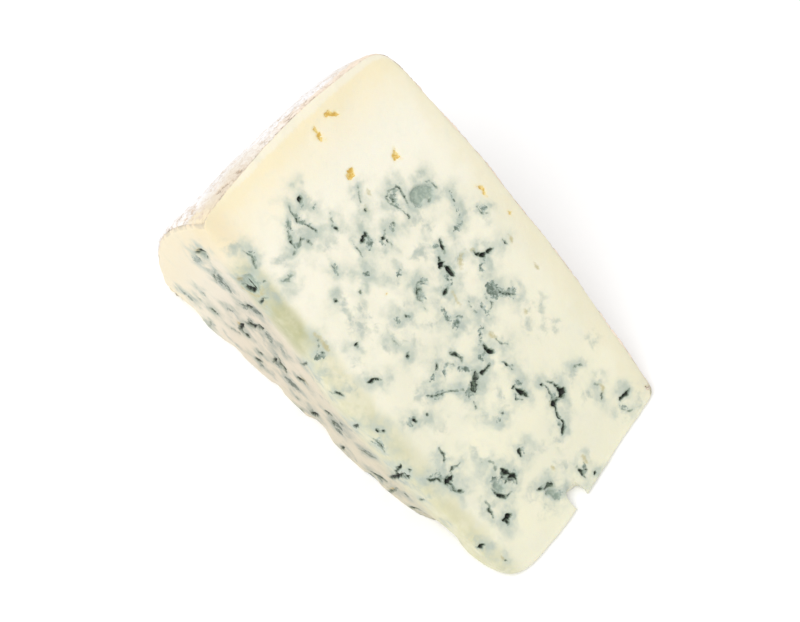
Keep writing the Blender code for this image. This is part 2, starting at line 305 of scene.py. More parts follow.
UPPER_STAINS = (
    (0.5, (1.9, 17.4), (3.4, 17.7)),
    (0.5, (5.2, 17.8), (6.8, 17.5)),
    (0.5, (2.2, 23.8), (2.8, 23.6)),
    (0.6, (6.0, 27.2), (6.6, 27.4)),
    (0.5, (12.8, 25.6), (13.1, 25.4)),
    (0.7, (21.6, 13.0), (22.4, 13.4)),
    (0.7, (10.6, 30.6), (11.4, 32.0)),
    (0.9, (11.8, 43.6), (13.0, 42.6)),
    (0.5, (19.6, 40.8), (19.2, 43.6)),
    (0.5, (1.4, 50.8), (2.6, 51.4)),
    (0.4, (20.0, 50.8), (20.6, 52.6)),
    (0.8, (27.0, 26.0), (28.8, 26.8)),
    (0.6, (32.2, 11.9), (32.8, 12.0)),
    (0.5, (40.3, 12.4), (42.0, 12.2)),
    (0.8, (41.0, 15.6), (41.6, 18.0)),
    (1.0, (32.6, 20.2), (35.6, 20.8)),
    (0.8, (37.0, 24.4), (41.0, 22.8)),
    (0.7, (37.2, 27.6), (37.8, 29.6)),
    (1.6, (46.0, 29.0), (47.6, 28.8)),
    (0.8, (50.0, 24.6), (50.6, 25.2)),
    (0.9, (43.4, 35.0), (46.0, 35.4)),
    (0.6, (35.2, 40.8), (35.4, 42.0)),
    (0.7, (37.4, 44.2), (37.9, 45.0)),
    (0.7, (35.0, 46.8), (36.4, 47.6)),
    (0.4, (29.7, 41.6), (29.7, 47.2)),
    (0.7, (52.0, 1.0), (52.8, 1.8)),
    (0.6, (55.5, 6.0), (56.0, 6.4)),
    (0.5, (55.4, 2.5), (55.8, 2.9)),
    (0.7, (57.6, 8.4), (58.6, 8.8)),
    (0.6, (54.8, 13.1), (58.4, 14.2)),
    (0.5, (59.8, 13.6), (63.6, 14.9)),
    (1.7, (61.6, 11.6), (63.6, 13.4)),
    (0.5, (49.4, 18.4), (53.0, 18.4)),
    (0.6, (53.6, 21.2), (55.0, 21.4)),
    (0.6, (56.2, 19.4), (56.8, 18.4)),
    (0.5, (57.4, 22.6), (57.8, 22.8)),
    (0.9, (63.2, 33.8), (63.9, 32.0)),
    (0.7, (66.4, 38.0), (69.2, 37.2)),
    (0.9, (62.4, 43.4), (62.8, 45.8)),
    (0.9, (66.4, 11.0), (69.0, 12.4)),
    (0.9, (67.4, 20.8), (68.8, 20.6)),
    (1.0, (77.6, 17.6), (79.4, 18.2)),
    (1.0, (84.4, 14.4), (86.8, 15.2)),
    (0.9, (81.8, 14.0), (83.0, 16.6)),
    (0.6, (82.2, 8.2), (83.0, 8.6)),
    (0.6, (90.6, 3.0), (93.0, 1.2)),
    (0.9, (80.8, 1.5), (78.4, 1.9)),
    (0.5, (83.0, 30.6), (84.0, 31.6)),
    (0.9, (56.0, 37.8), (58.6, 36.6)),
    (0.7, (24.0, 6.8), (26.4, 6.0)),
    (0.8, (22.6, 13.6), (23.4, 14.2)),
    (0.6, (24.4, 24.4), (25.2, 24.8)),
    (0.7, (28.0, 7.4), (28.8, 7.0)),
)

UPPER_EYES = (
    (1.0, (86.0, 31.1), (86.4, 32.2)),
    (0.5, (94.9, 31.9), (95.6, 31.2), (96.9, 31.0)),
    (0.5, (96.4, 31.6), (98.2, 31.4)),
    (0.7, (98.5, 35.5), (97.3, 37.3)),
    (0.8, (82.0, 41.4), (82.7, 42.3)),
    (0.5, (81.6, 42.3), (83.4, 42.5)),
    (0.5, (62.0, 52.8), (64.0, 52.9), (65.2, 52.2)),
    (0.5, (55.1, 54.5), (55.6, 54.6)),
    (0.24, (62.3, 20.9), (62.6, 20.9)),
)

UPPER_LINES = (
    (0.3, (10.0, 45.7), (10.8, 46.6), (12.0, 46.4)),
    (0.28, (0.6, 3.0), (2.3, 2.8)),
    (0.3, (2.0, 31.8), (4.1, 31.9)),
    (0.34, (37.7, 33.8), (39.4, 33.3)),
    (0.3, (36.6, 42.9), (37.6, 43.1)),
    (0.22, (48.8, 32.1), (52.2, 32.5)),
    (0.24, (50.4, 50.6), (52.0, 51.0)),
    (0.24, (41.6, 51.7), (43.2, 51.7)),
    (0.4, (62.2, 3.5), (63.9, 3.8), (67.0, 3.4)),
    (0.3, (54.3, 37.6), (56.0, 38.6), (56.6, 39.6)),
    (0.24, (54.8, 42.5), (55.6, 42.3)),
    (0.24, (77.8, 29.4), (79.0, 29.3)),
    (0.22, (80.3, 31.8), (81.2, 32.1)),
    (0.3, (17.0, 34.0), (18.4, 34.4)),
    (0.24, (6.9, 24.8), (8.0, 24.8)),
    (0.3, (80.6, 0.6), (81.8, 1.4)),
)

UPPER_MARKS = {
    "slit": UPPER_SLITS,
    "pit": UPPER_PITS,
    "hollow": UPPER_HOLLOWS,
    "plate": UPPER_PLATES,
    "stain": UPPER_STAINS,
    "eye": UPPER_EYES,
    "line": UPPER_LINES,
}

# Marks on the cut end, in mm: half width, then places as (way from the axis, height)
END_SLITS = (
    (0.42, (78.4, 50.6), (80.4, 47.8), (82.6, 44.3)),
    (0.42, (78.6, 50.0), (79.0, 46.2)),
    (0.14, (77.0, 43.0), (78.1, 40.6)),
    (0.12, (78.2, 40.0), (78.2, 35.0)),
    (0.45, (62.3, 49.0), (63.8, 45.4)),
    (0.4, (64.0, 51.2), (65.6, 48.9), (68.5, 47.8)),
    (0.26, (66.2, 40.0), (67.8, 37.8), (71.2, 33.9)),
    (0.75, (64.8, 32.2), (67.0, 29.8)),
    (0.6, (67.0, 29.8), (69.0, 27.0), (71.0, 25.2)),
    (0.55, (53.0, 22.8), (55.2, 21.2)),
    (0.65, (61.2, 22.2), (59.8, 19.4), (59.2, 17.0)),
    (0.5, (61.8, 20.8), (63.4, 16.4)),
    (0.45, (44.3, 18.6), (47.0, 16.2)),
    (0.4, (44.6, 15.6), (44.2, 12.8)),
    (0.55, (49.3, 10.6), (52.6, 5.4)),
    (0.3, (56.4, 7.6), (57.4, 6.2)),
    (0.55, (67.8, 10.6), (70.2, 7.4)),
    (0.45, (41.5, 5.6), (42.6, 1.6)),
    (0.45, (22.5, 21.6), (23.7, 19.6), (25.5, 14.8), (27.6, 10.6)),
    (0.3, (22.2, 20.6), (23.0, 18.0)),
    (0.4, (18.2, 13.1), (19.7, 10.2)),
    (0.5, (28.8, 6.6), (31.0, 5.7), (34.2, 3.9)),
    (0.3, (25.5, 7.6), (26.6, 4.3), (28.2, 0.8)),
    (0.2, (31.2, 16.2), (33.5, 14.2), (36.6, 13.2)),
    (0.4, (31.2, 27.6), (32.2, 24.2)),
    (0.45, (35.4, 29.6), (37.1, 25.0)),
    (0.22, (50.6, 36.2), (53.2, 31.2)),
    (0.35, (18.8, 4.3), (20.7, 3.2), (22.2, 1.0)),
    (0.55, (72.2, 23.2), (73.9, 18.0)),
    (0.45, (70.6, 18.8), (73.8, 17.6)),
    (0.3, (74.2, 15.4), (77.0, 14.2)),
    (0.35, (66.6, 15.8), (68.8, 13.6)),
    (0.35, (86.4, 16.4), (87.0, 15.8)),
    (0.12, (84.2, 8.0), (85.0, 4.6), (86.6, 1.4)),
    (0.3, (55.4, 1.6), (56.6, 0.8)),
)

END_PITS = (
    (0.6, (81.2, 16.4), (82.8, 15.4)),
    (0.7, (60.6, 20.6), (60.6, 18.2)),
    (0.6, (65.6, 31.4), (67.6, 28.8)),
    (0.6, (72.0, 18.4), (73.4, 17.8)),
)

END_HOLLOWS = (
    (1.6, (66.6, 50.6), (68.2, 49.0)),
    (1.1, (80.6, 46.4), (79.6, 48.2)),
)

END_PLATES = (
    (1.7, (76.2, 40.6), (77.0, 37.2)),
    (1.0, (74.2, 39.6), (74.6, 36.4)),
    (0.7, (81.6, 43.0), (83.8, 39.4)),
    (1.4, (64.8, 39.4), (67.2, 37.2)),
    (0.9, (69.4, 35.8), (71.0, 33.6)),
    (1.0, (68.6, 29.6), (69.4, 27.4)),
    (0.9, (63.4, 31.0), (63.0, 28.0)),
    (1.0, (61.6, 19.4), (61.6, 17.2)),
    (1.8, (56.2, 13.6), (59.0, 13.6)),
    (1.5, (42.0, 16.2), (44.0, 15.4)),
    (1.3, (42.2, 13.4), (43.2, 12.4)),
    (0.7, (41.2, 19.8), (41.6, 18.4)),
    (0.9, (51.4, 9.2), (52.4, 6.6)),
    (1.0, (67.8, 8.6), (68.8, 7.0)),
    (0.8, (23.0, 20.0), (24.0, 17.2)),
    (0.9, (30.0, 26.0), (30.6, 25.0)),
    (0.9, (33.0, 16.0), (34.8, 14.6)),
    (0.9, (30.0, 4.6), (32.0, 4.0)),
    (0.7, (70.6, 19.4), (71.8, 19.6)),
    (0.6, (75.2, 25.8), (76.6, 24.2)),
    (0.6, (58.7, 28.4), (59.4, 30.6)),
    (0.7, (67.4, 15.0), (68.2, 14.2)),
    (0.8, (89.4, 11.6), (92.6, 12.2)),
    (0.6, (84.0, 22.0), (84.8, 21.4)),
    (0.6, (53.0, 22.2), (52.4, 21.6)),
    (0.5, (61.4, 23.4), (62.0, 23.0)),
)

END_STAINS = (
    (2.2, (76.4, 40.6), (77.6, 36.4)),
    (1.4, (82.0, 42.0), (83.6, 40.0)),
    (1.6, (66.0, 38.4), (69.0, 35.4)),
    (1.4, (62.0, 29.0), (64.0, 25.0)),
    (2.0, (56.0, 13.6), (60.0, 13.4)),
    (1.6, (42.0, 17.0), (45.0, 14.6)),
    (1.4, (50.6, 8.0), (53.6, 4.0)),
    (1.3, (19.2, 16.4), (18.0, 17.6)),
    (1.5, (22.6, 15.4), (24.4, 13.4)),
    (1.4, (32.0, 16.0), (35.6, 14.6)),
    (1.1, (29.0, 24.4), (31.4, 23.2)),
    (0.8, (45.6, 37.2), (48.8, 31.6)),
    (0.6, (42.0, 34.0), (43.2, 31.6)),
    (0.7, (46.0, 27.4), (47.2, 24.8)),
    (1.0, (50.6, 36.0), (52.0, 33.6)),
    (0.9, (59.4, 31.0), (58.6, 27.6)),
    (0.9, (74.4, 23.6), (76.8, 26.6)),
    (1.2, (88.4, 11.4), (92.8, 12.4)),
    (1.2, (84.6, 6.4), (86.2, 2.0)),
    (1.0, (74.0, 6.4), (78.6, 7.2)),
    (1.0, (12.0, 9.6), (12.6, 6.4)),
    (0.9, (10.0, 3.6), (12.0, 2.4)),
    (0.9, (38.6, 4.0), (40.4, 3.2)),
    (0.9, (64.8, 9.4), (65.4, 6.8)),
    (1.0, (38.0, 20.4), (37.4, 19.0)),
)

END_EYES = (
    (0.7, (73.0, 22.4), (73.8, 20.2)),
    (0.5, (26.4, 6.4), (27.6, 3.0)),
    (0.55, (79.6, 49.6), (82.0, 45.4)),
)

END_LINES = (
    (0.5, (62.9, 49.8), (65.0, 47.8), (68.8, 46.6)),
    (0.4, (69.4, 48.6), (69.0, 50.8)),
    (0.5, (62.0, 48.4), (62.6, 46.4)),
    (0.5, (53.6, 24.0), (51.8, 23.0)),
)

END_MARKS = {
    "slit": END_SLITS,
    "pit": END_PITS,
    "hollow": END_HOLLOWS,
    "plate": END_PLATES,
    "stain": END_STAINS,
    "eye": END_EYES,
    "line": END_LINES,
}

# Where the lower edge of the cut end is crumbled away, in mm: way from the axis, half width, depth
CRUMBLED_EDGES = ((14, 9, 2.0), (33, 3, 0.8), (50, 5, 1.6), (64, 3, 0.7), (78, 4, 0.8), (95, 9, 1.8))

# How deep each kind of mark is sunk, in mm
MARK_DEPTHS = {"slit": 1.1, "pit": 0.8, "hollow": 0.7, "plate": 0.14, "eye": 0.5, "line": 0.1}
MARK_WALL = (-0.2 * MM, 0.5 * MM)  # a mark sinks from this far outside its outline to this far inside
MARK_REACH = 4.0 * MM  # how far round a mark its distance is measured
FINER_WITHIN = (2.0 * MM, 1.0 * MM)  # how near a mark the mesh is split once, and once more
SKIN_SEARCH = (20 * MM, 35 * MM)  # the skin is looked for from this far out, and down this far
HIDDEN_MARKS = 44  # on the lower cut

# The camera looks down on the tip and the cut end
CAMERA_TURN = math.radians(46.8)  # from straight before the cut end, towards the tip
CAMERA_RISE = math.radians(65.1)  # above the floor
CAMERA_ROLL = math.radians(-4.3)
CAMERA_DISTANCE = 385 * MM
CAMERA_AIM = Vector((-1.1, -2.3, 22.2)) * MM
CAMERA_LENS = 79.2  # in mm, on a sensor 36 mm wide
NEAREST_SEEN = 10 * MM

# A soft key light over a pale floor, in an even white room
KEY_PLACE = Vector((-0.15, -0.35, 0.92))
KEY_WIDTH = 0.7
KEY_WATTS = 4.2
ROOM_LIGHT = 0.73
FLOOR_SIZE = 6.0
FLOOR_TONE = 0.93
FLOOR_GLOW = 0.1  # keeps the shade beside the wedge pale


# --- Making meshes ---


def deselect_all():
    bpy.ops.object.select_all(action="DESELECT")


def make_active(piece):
    deselect_all()
    piece.select_set(True)
    bpy.context.view_layer.objects.active = piece


def apply_modifier(piece, name, kind, **settings):
    """Adds a modifier, sets it and applies it."""
    make_active(piece)
    modifier = piece.modifiers.new(name, kind)
    for key, value in settings.items():
        setattr(modifier, key, value)
    bpy.ops.object.modifier_apply(modifier=modifier.name)


def rounded_copy(name, node, levels):
    """A copy of a CAD node's mesh as one welded skin, smoothed by a Subdivision Surface."""
    piece = bpy.data.objects.new(name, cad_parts[node].data.copy())
    piece.data.name = name
    piece.data.materials.clear()
    bpy.context.scene.collection.objects.link(piece)
    make_active(piece)
    bpy.ops.object.mode_set(mode="EDIT")
    bpy.ops.mesh.select_all(action="SELECT")
    bpy.ops.mesh.remove_doubles(threshold=0.01 * MM)
    bpy.ops.mesh.tris_convert_to_quads(face_threshold=math.radians(40), shape_threshold=math.radians(40))
    bpy.ops.mesh.customdata_custom_splitnormals_clear()
    bpy.ops.object.mode_set(mode="OBJECT")
    apply_modifier(piece, "round the facets", "SUBSURF", levels=levels, render_levels=levels)
    soften_crease(piece, CREASE_ROUNDS * 4**levels)
    return piece


def soften_crease(piece, iterations):
    """Rounds the edge where the upper cut meets the cut end."""
    points = read_points(piece.data)
    away = np.hypot(points[:, 1] - CUT_END_Y, below_upper_cut(points))
    weights = np.clip(1 - away / CREASE_WIDTH, 0, 1) * smooth_step(radius_of(points), *CREASE_FADE)
    crease = piece.vertex_groups.new(name="crease")
    for index in np.flatnonzero(weights):
        crease.add([int(index)], float(weights[index]), "REPLACE")
    apply_modifier(
        piece, "soften the crease", "SMOOTH", factor=0.5, iterations=iterations, vertex_group="crease"
    )
    piece.vertex_groups.clear()


def read_points(mesh, what="co"):
    """The vertices' places, or with what="normal" their normals."""
    flat = np.empty(3 * len(mesh.vertices), np.float32)
    mesh.vertices.foreach_get(what, flat)
    return flat.reshape(-1, 3).astype(float)


def radius_of(points):
    return np.hypot(points[:, 0] - AXIS_X, points[:, 2])


def below_upper_cut(points):
    return (np.array((AXIS_X, 0, 0)) - points) @ np.array(OUT_OF_UPPER_CUT)


def read_values(mesh, name):
    values = np.empty(len(mesh.vertices), np.float32)
    mesh.attributes[name].data.foreach_get("value", values)
    return values.astype(float)


def move_points(mesh, points):
    """Gives the vertices new places, none of them under the floor."""
    points[:, 2] = np.maximum(points[:, 2], 0)
    mesh.vertices.foreach_set("co", points.astype(np.float32).ravel())
    mesh.update()


def store(mesh, name, values):
    layer = mesh.attributes.get(name) or mesh.attributes.new(name, "FLOAT", "POINT")
    layer.data.foreach_set("value", values.astype(np.float32))


def select_faces_at(piece, chosen, all_corners=False):
    """Selects the faces that have a chosen vertex, or only those with all their vertices chosen."""
    mesh = piece.data
    make_active(piece)
    bpy.ops.object.mode_set(mode="EDIT")
    bpy.ops.mesh.select_mode(type="FACE")
    bpy.ops.mesh.select_all(action="DESELECT")
    bpy.ops.object.mode_set(mode="OBJECT")
    corners = np.empty(len(mesh.loops), np.int32)
    mesh.loops.foreach_get("vertex_index", corners)
    starts = np.empty(len(mesh.polygons), np.int32)
    mesh.polygons.foreach_get("loop_start", starts)
    reduce = np.minimum if all_corners else np.maximum
    mesh.polygons.foreach_set("select", reduce.reduceat(chosen[corners].astype(np.int8), starts) > 0)


def split_faces_at(piece, chosen):
    """Subdivides the faces that have a chosen vertex."""
    select_faces_at(piece, chosen)
    bpy.ops.object.mode_set(mode="EDIT")
    bpy.ops.mesh.subdivide(number_cuts=1, quadcorner="INNERVERT")
    bpy.ops.object.mode_set(mode="OBJECT")


def keep_faces_at(piece, chosen):
    """Deletes the faces that don't have all their vertices chosen."""
    select_faces_at(piece, chosen, all_corners=True)
    bpy.ops.object.mode_set(mode="EDIT")
    bpy.ops.mesh.select_all(action="INVERT")
    bpy.ops.mesh.delete(type="FACE")
    bpy.ops.object.mode_set(mode="OBJECT")


def fractal_at(points, size, octaves, seed):
    """Smooth noise from about -1 to 1 at each point, with lumps of that size."""
    offset = Vector((seed, 2 * seed, -seed))
    return np.array([noise.fractal(Vector(point) + offset, 1.0, 2.0, octaves) for point in points / size])


def bend(points, steps):
    """The points shifted by smooth noise, in steps of (size of a wave, shift, seed)."""
    for size, amount, seed in steps:
        offset = Vector((seed, -seed, 3 * seed))
        waves = [noise.noise_vector(Vector(point) + offset) for point in points / (size * MM)]
        points = points + amount * MM * np.array(waves)
    return points


def smooth_step(value, low, high):
    """0 at the low bound and 1 at the high one, which may also be the smaller number."""
    share = np.clip((value - low) / (high - low), 0, 1)
    return share * share * (3 - 2 * share)


# --- Marks in the paste ---


def on_upper_cut(radius, along):
    return Vector((AXIS_X, CUT_END_Y + along * MM, 0)) + radius * MM * UP_THE_CUT


def on_cut_end(across, height):
    return Vector((AXIS_X - across * MM, CUT_END_Y, height * MM))


def on_lower_cut(radius, along):
    return Vector((AXIS_X - radius * MM, CUT_END_Y + along * MM, 0))


def hidden_marks():
    """Marks on the cut that the wedge lies on, strewn like those on the upper cut."""
    marks = {}
    for _ in range(HIDDEN_MARKS):
        radius, along = random.uniform(6, 84), random.uniform(3, 50)
        turn = random.uniform(0, math.tau)
        length = random.uniform(1, 4)
        curl = random.uniform(-0.8, 0.8)
        places = [(radius, along)]
        for step in (1, 2):
            heading = turn + curl * step
            radius += length * math.cos(heading)
            along += length * math.sin(heading)
            places.append((radius, along))
        kind = random.choice(("slit", "slit", "plate", "plate", "stain", "pit"))
        marks.setdefault(kind, []).append((random.uniform(0.3, 0.8), *places))
    return marks


def on_skin(skin, spot, outward):
    """The skin that lies straight under a spot of one of the cuts."""
    height, way = SKIN_SEARCH
    return skin.ray_cast(spot + height * outward, -outward, way)[0] or skin.find_nearest(spot)[0]


def mark_lines(skin):
    """Every mark as (kind, half width, line of points on the skin)."""
    lines = []
    for marks, spot, outward in (
        (UPPER_MARKS, on_upper_cut, OUT_OF_UPPER_CUT),
        (END_MARKS, on_cut_end, OUT_OF_CUT_END),
        (hidden_marks(), on_lower_cut, OUT_OF_LOWER_CUT),
    ):
        for kind, rows in marks.items():
            for half_width, *places in rows:
                line = np.array([on_skin(skin, spot(*place), outward) for place in places])
                lines.append((kind, half_width * MM, line))
    return lines


def along_line(points, line):
    """Each point's distance from the line, and how far along it the nearest place is, from 0 to 1."""
    nearest = np.full(len(points), 1.0)
    share_along = np.zeros(len(points))
    lengths = np.sqrt(((line[1:] - line[:-1]) ** 2).sum(1))
    passed = 0.0
    for start, end, length in zip(line[:-1], line[1:], lengths):
        run = end - start
        share = np.clip((points - start) @ run / max(run @ run, 1e-12), 0, 1)
        gap = points - start - share[:, None] * run
        distance = np.sqrt((gap * gap).sum(1))
        closer = distance < nearest
        nearest[closer] = distance[closer]
        share_along[closer] = (passed + share[closer] * length) / lengths.sum()
        passed += length
    return nearest, share_along


def near_line(points, line, reach):
    low, high = line.min(0) - reach, line.max(0) + reach
    return np.flatnonzero(np.all((points > low) & (points < high), axis=1))


def depth_inside(points, lines, kinds, taper=0.0, swell=0.0, widen=1.0):
    """How far inside the nearest mark of those kinds each point is, in metres, down to minus the reach.

    A mark narrows by the taper towards its ends, and its width swells and shrinks along it."""
    inside = np.full(len(points), -MARK_REACH)
    for kind, half_width, line in lines:
        if kind not in kinds:
            continue
        near = near_line(points, line, MARK_REACH + widen * half_width)
        distance, share = along_line(points[near], line)
        width = half_width * widen * (1 - taper * np.abs(2 * share - 1) ** 2)
        beat = 1 + swell * np.sin(line[0, 0] / MM + 9 * share) * np.sin(line[0, 1] / MM + 4 * share)
        inside[near] = np.maximum(inside[near], width * beat - distance)
    return inside


def refine(piece, lines):
    """Makes the mesh finer near the marks and along the border of the rind."""
    for margin in FINER_WITHIN:
        points = read_points(piece.data)
        skin = rind_share(points, read_points(piece.data, "normal"))
        at_border = (skin > RIND_EDGE[0]) & (skin < RIND_EDGE[1])
        inside = depth_inside(points, lines, MARK_DEPTHS)
        split_faces_at(piece, at_border | (inside > -margin))
    apply_modifier(piece, "soften the facets", "SMOOTH", factor=0.5, iterations=2)


def rind_share(points, normals):
    """1 where the skin is the wheel's outside, 0 where it was cut."""
    out = points - np.array((AXIS_X, 0, 0))
    out[:, 1] = 0
    out /= np.sqrt((out * out).sum(1))[:, None] + 1e-9
    outward = np.hypot(np.maximum((normals * out).sum(1), 0), np.maximum(normals[:, 1], 0))
    radius = radius_of(points)
    on_flat_end = (normals[:, 1] > 0.5) & (points[:, 1] > FLAT_END_Y)
    return np.where((radius > SIDE_RADIUS) | on_flat_end, outward, 0) * smooth_step(radius, *BARE_TIP)


def mark_fields(points, lines):
    """How far inside each kind of mark each point is. The bleed is the wider stain round the blue ones."""
    soft = bend(points, SOFT_BENDS)
    ragged = bend(points, RAGGED_BENDS)
    rough = bend(points, ROUGH_BENDS)
    return {
        "slit": depth_inside(rough, lines, ("slit",), 0.65, 0.35),
        "pit": depth_inside(ragged, lines, ("pit",), 0.2, 0.2),
        "hollow": depth_inside(ragged, lines, ("hollow",)),
        "plate": depth_inside(ragged, lines, ("plate",), 0.3, 0.3),
        "stain": depth_inside(soft, lines, ("stain",), 0.3),
        "bleed": depth_inside(soft, lines, ("slit", "pit", "plate", "hollow"), widen=1.3),
        "eye": depth_inside(ragged, lines, ("eye",), 0.4, 0.3),
        "line": depth_inside(rough, lines, ("line",), 0.6, 0.4),
    }


def marked_depth(fields):
    """How far the marks sink the skin at each point."""
    sink = 0.0
    for name, depth in MARK_DEPTHS.items():
        sink = np.maximum(sink, depth * MM * smooth_step(fields[name], *MARK_WALL))
    return sink


def crumbled_depth(points, normals, at_cut_end):
    """How far the lower edge of the cut end is crumbled away at each point."""
    across = (AXIS_X - points[:, 0]) / MM
    depths = np.zeros(len(points))
    for way, half_width, depth in CRUMBLED_EDGES:
        depths = np.maximum(depths, depth * MM * smooth_step(np.abs(across - way), half_width, 0))
    depths *= smooth_step(points[:, 2], 6 * MM, 0) * at_cut_end * smooth_step(-normals[:, 1], 0.0, 0.5)
    return depths * (1 + 0.5 * fractal_at(points, 2.5 * MM, 2, 6.0))


def rind_radius(points, skin):
    """The radius of the wheel's side, level with each point along the axis."""
    on_rind = points[skin > SURE_RIND]
    on_side = on_rind[radius_of(on_rind) > OUTER_RADIUS]
    order = np.argsort(on_side[:, 1])
    return np.interp(points[:, 1], on_side[order, 1], radius_of(on_side)[order])


def store_places(mesh, points):
    """Where each point is, in mm: its way along the axis and its depth below the upper cut."""
    store(mesh, "along", (points[:, 1] - CUT_END_Y) / MM)
    store(mesh, "below_upper_cut", below_upper_cut(points) / MM)


def make_paste():
    """The cut paste, with the marks sunk into it and the fields that its material reads."""
    paste = rounded_copy("paste", "cheese_wedge", 1)
    lines = mark_lines(BVHTree.FromObject(paste, bpy.context.evaluated_depsgraph_get()))
    refine(paste, lines)
    mesh = paste.data
    points = read_points(mesh)
    normals = read_points(mesh, "normal")
    fields = mark_fields(points, lines)
    for name, field in fields.items():
        store(mesh, name, field / MM)
    skin = rind_share(points, normals)
    at_cut_end = smooth_step(points[:, 1], *CUT_END_FADE)
    down_the_end = smooth_step(below_upper_cut(points), *PAINTED_SHADE_FADE)
    store(mesh, "skin", skin)
    # How much the skin is the cut end, fading in below the upper cut; it carries the painted shade of the
    # cut end
    store(mesh, "cut_end", smooth_step(-normals[:, 1], 0.1, 0.9) * at_cut_end * down_the_end)
    store(mesh, "radius", radius_of(points) / MM)
    store(mesh, "from_rind", (rind_radius(points, skin) - radius_of(points)) / MM)
    store(mesh, "from_flat_end", (cad_high.y - points[:, 1]) / MM)
    store_places(mesh, points)

    under_rind = UNDER_RIND * smooth_step(skin, *SUNK_FADE)
    lumps = sum(height * fractal_at(points, *pattern) for height, *pattern in PASTE_LUMPS)
    raised = lumps - PASTE_SETTLING - marked_depth(fields) - under_rind
    moved = points + normals * raised[:, None]
    moved[:, 1] += crumbled_depth(points, normals, at_cut_end)
    move_points(mesh, moved)
    mesh.shade_smooth()
    return paste


# --- Rind ---


def cell_edges(points, size, seed):
    """How far each point is from the border between two cells: 0 on the border, about 1 inside."""
    offset = Vector((seed, -seed, seed))
    gaps = []
    for point in points / size:
        nearest, second = noise.voronoi(Vector(point) + offset)[0][:2]
        gaps.append(second - nearest)
    return np.array(gaps)


def crust_relief(points):
    """The height of the crust at each point: folds and powder, less cracks between plates and pits."""
    bent = bend(points, CRUST_BENDS) * CRUST_STRETCH
    folds = 0.26 * fractal_at(bent, 7 * MM, 4, 13.0)
    dry = smooth_step(fractal_at(points, 10 * MM, 2, 14.0), -0.5, 0.35)
    cracks = 0.45 * dry * (1 - smooth_step(cell_edges(bent, 4.2 * MM, 15.0), 0.0, 0.2))
    fine_cracks = 0.2 * (1 - smooth_step(cell_edges(bent, 1.7 * MM, 16.0), 0.0, 0.24))
    pits = 0.3 * smooth_step(fractal_at(bent, 1.7 * MM, 2, 17.0), 0.35, 0.8)
    powder = 0.05 * fractal_at(points, 0.6 * MM, 2, 18.0)
    return (folds + powder - cracks - fine_cracks - pits) * MM


def make_rind():
    """The dry crust on the side and the flat end, as a thin closed shell that dips into the paste."""
    rind = rounded_copy("rind", "cheese_wedge", 2)
    mesh = rind.data
    keep_faces_at(rind, rind_share(read_points(mesh), read_points(mesh, "normal")) > RIND_BORDER)
    points = read_points(mesh)
    inland = smooth_step(rind_share(points, read_points(mesh, "normal")), *INLAND_FADE)
    store(mesh, "inland", inland)
    apply_modifier(rind, "crust", "SOLIDIFY", thickness=RIND_THICKNESS, offset=-1.0)
    outside = np.arange(len(mesh.vertices)) < len(points)
    store(mesh, "outside", outside)
    split_faces_at(rind, outside)
    points = read_points(mesh)
    normals = read_points(mesh, "normal")
    inland = read_values(mesh, "inland")
    outside = read_values(mesh, "outside")
    relief = crust_relief(points) * outside * inland * smooth_step(radius_of(points), *FLAT_TIP)
    store(mesh, "raised", relief / MM)
    store(mesh, "flat_end", smooth_step(normals[:, 1], 0.5, 0.9))
    store_places(mesh, points)
    relief -= RIND_DIP * (1 - inland)
    move_points(mesh, points + normals * relief[:, None])
    mesh.shade_smooth()
    return rind


# --- Materials ---

# The places of a Mix node's share and colours, which have the same names as its other sockets
SHARE, FIRST_COLOUR, SECOND_COLOUR, MIXED_COLOUR = 0, 6, 7, 2
TONE_INPUTS = ("Below", "Tone", "Value", "Low", "High", "Share")
GRAIN_INPUTS = ("Scale", "Detail", "Roughness", "Distortion")


def put(node, inputs):
    """Sets a node's inputs, given by name or place, to values or links them to other nodes' outputs."""
    for place, value in inputs.items():
        if isinstance(value, bpy.types.NodeSocket):
            node.id_data.links.new(value, node.inputs[place])
        else:
            node.inputs[place].default_value = value


def add_node(tree, kind, inputs=None, **settings):
    node = tree.nodes.new(kind)
    for key, value in settings.items():
        setattr(node, key, value)
    put(node, inputs or {})
    return node


def attribute(tree, name):
    """One of the values stored on the mesh's points."""
    return add_node(tree, "ShaderNodeAttribute", attribute_name=name).outputs["Fac"]


def grain(tree, size, detail=3.0, roughness=0.6, distortion=0.0):
    """Noise with lumps of that size in metres, from 0 to 1."""
    inputs = dict(zip(GRAIN_INPUTS, (1.0 / size, detail, roughness, distortion)))
    return add_node(tree, "ShaderNodeGroup", inputs, node_tree=grain_group).outputs["Amount"]


def math_of(operation, a, b):
    return add_node(a.id_data, "ShaderNodeMath", {0: a, 1: b}, operation=operation).outputs[0]


def times(a, b):
    return math_of("MULTIPLY", a, b)


def plus(a, b):
    return math_of("ADD", a, b)


def ramp(value, low, high, to_low=0.0, to_high=1.0):
    """A smooth step between two values, put out from one value to another."""
    inputs = {"Value": value, "From Min": low, "From Max": high, "To Min": to_low, "To Max": to_high}
    node = add_node(value.id_data, "ShaderNodeMapRange", inputs, interpolation_type="SMOOTHSTEP")
    return node.outputs["Result"]


def mix(share, a, b, blend="MIX"):
    """The first colour with a share of the second one, from 0 to 1."""
    inputs = {SHARE: share, FIRST_COLOUR: a, SECOND_COLOUR: b}
    node = add_node(share.id_data, "ShaderNodeMix", inputs, data_type="RGBA", blend_type=blend)
    return node.outputs[MIXED_COLOUR]


def colour(red, green, blue):
    """A colour from its sRGB values out of 255."""
    linear = []
    for value in (red, green, blue):
        share = value / 255
        linear.append(share / 12.92 if share <= 0.04045 else ((share + 0.055) / 1.055) ** 2.4)
    return (*linear, 1.0)


def new_material(name):
    material = bpy.data.materials.new(name)
    material.use_nodes = True
    tree = material.node_tree
    return material, tree, tree.nodes["Principled BSDF"]


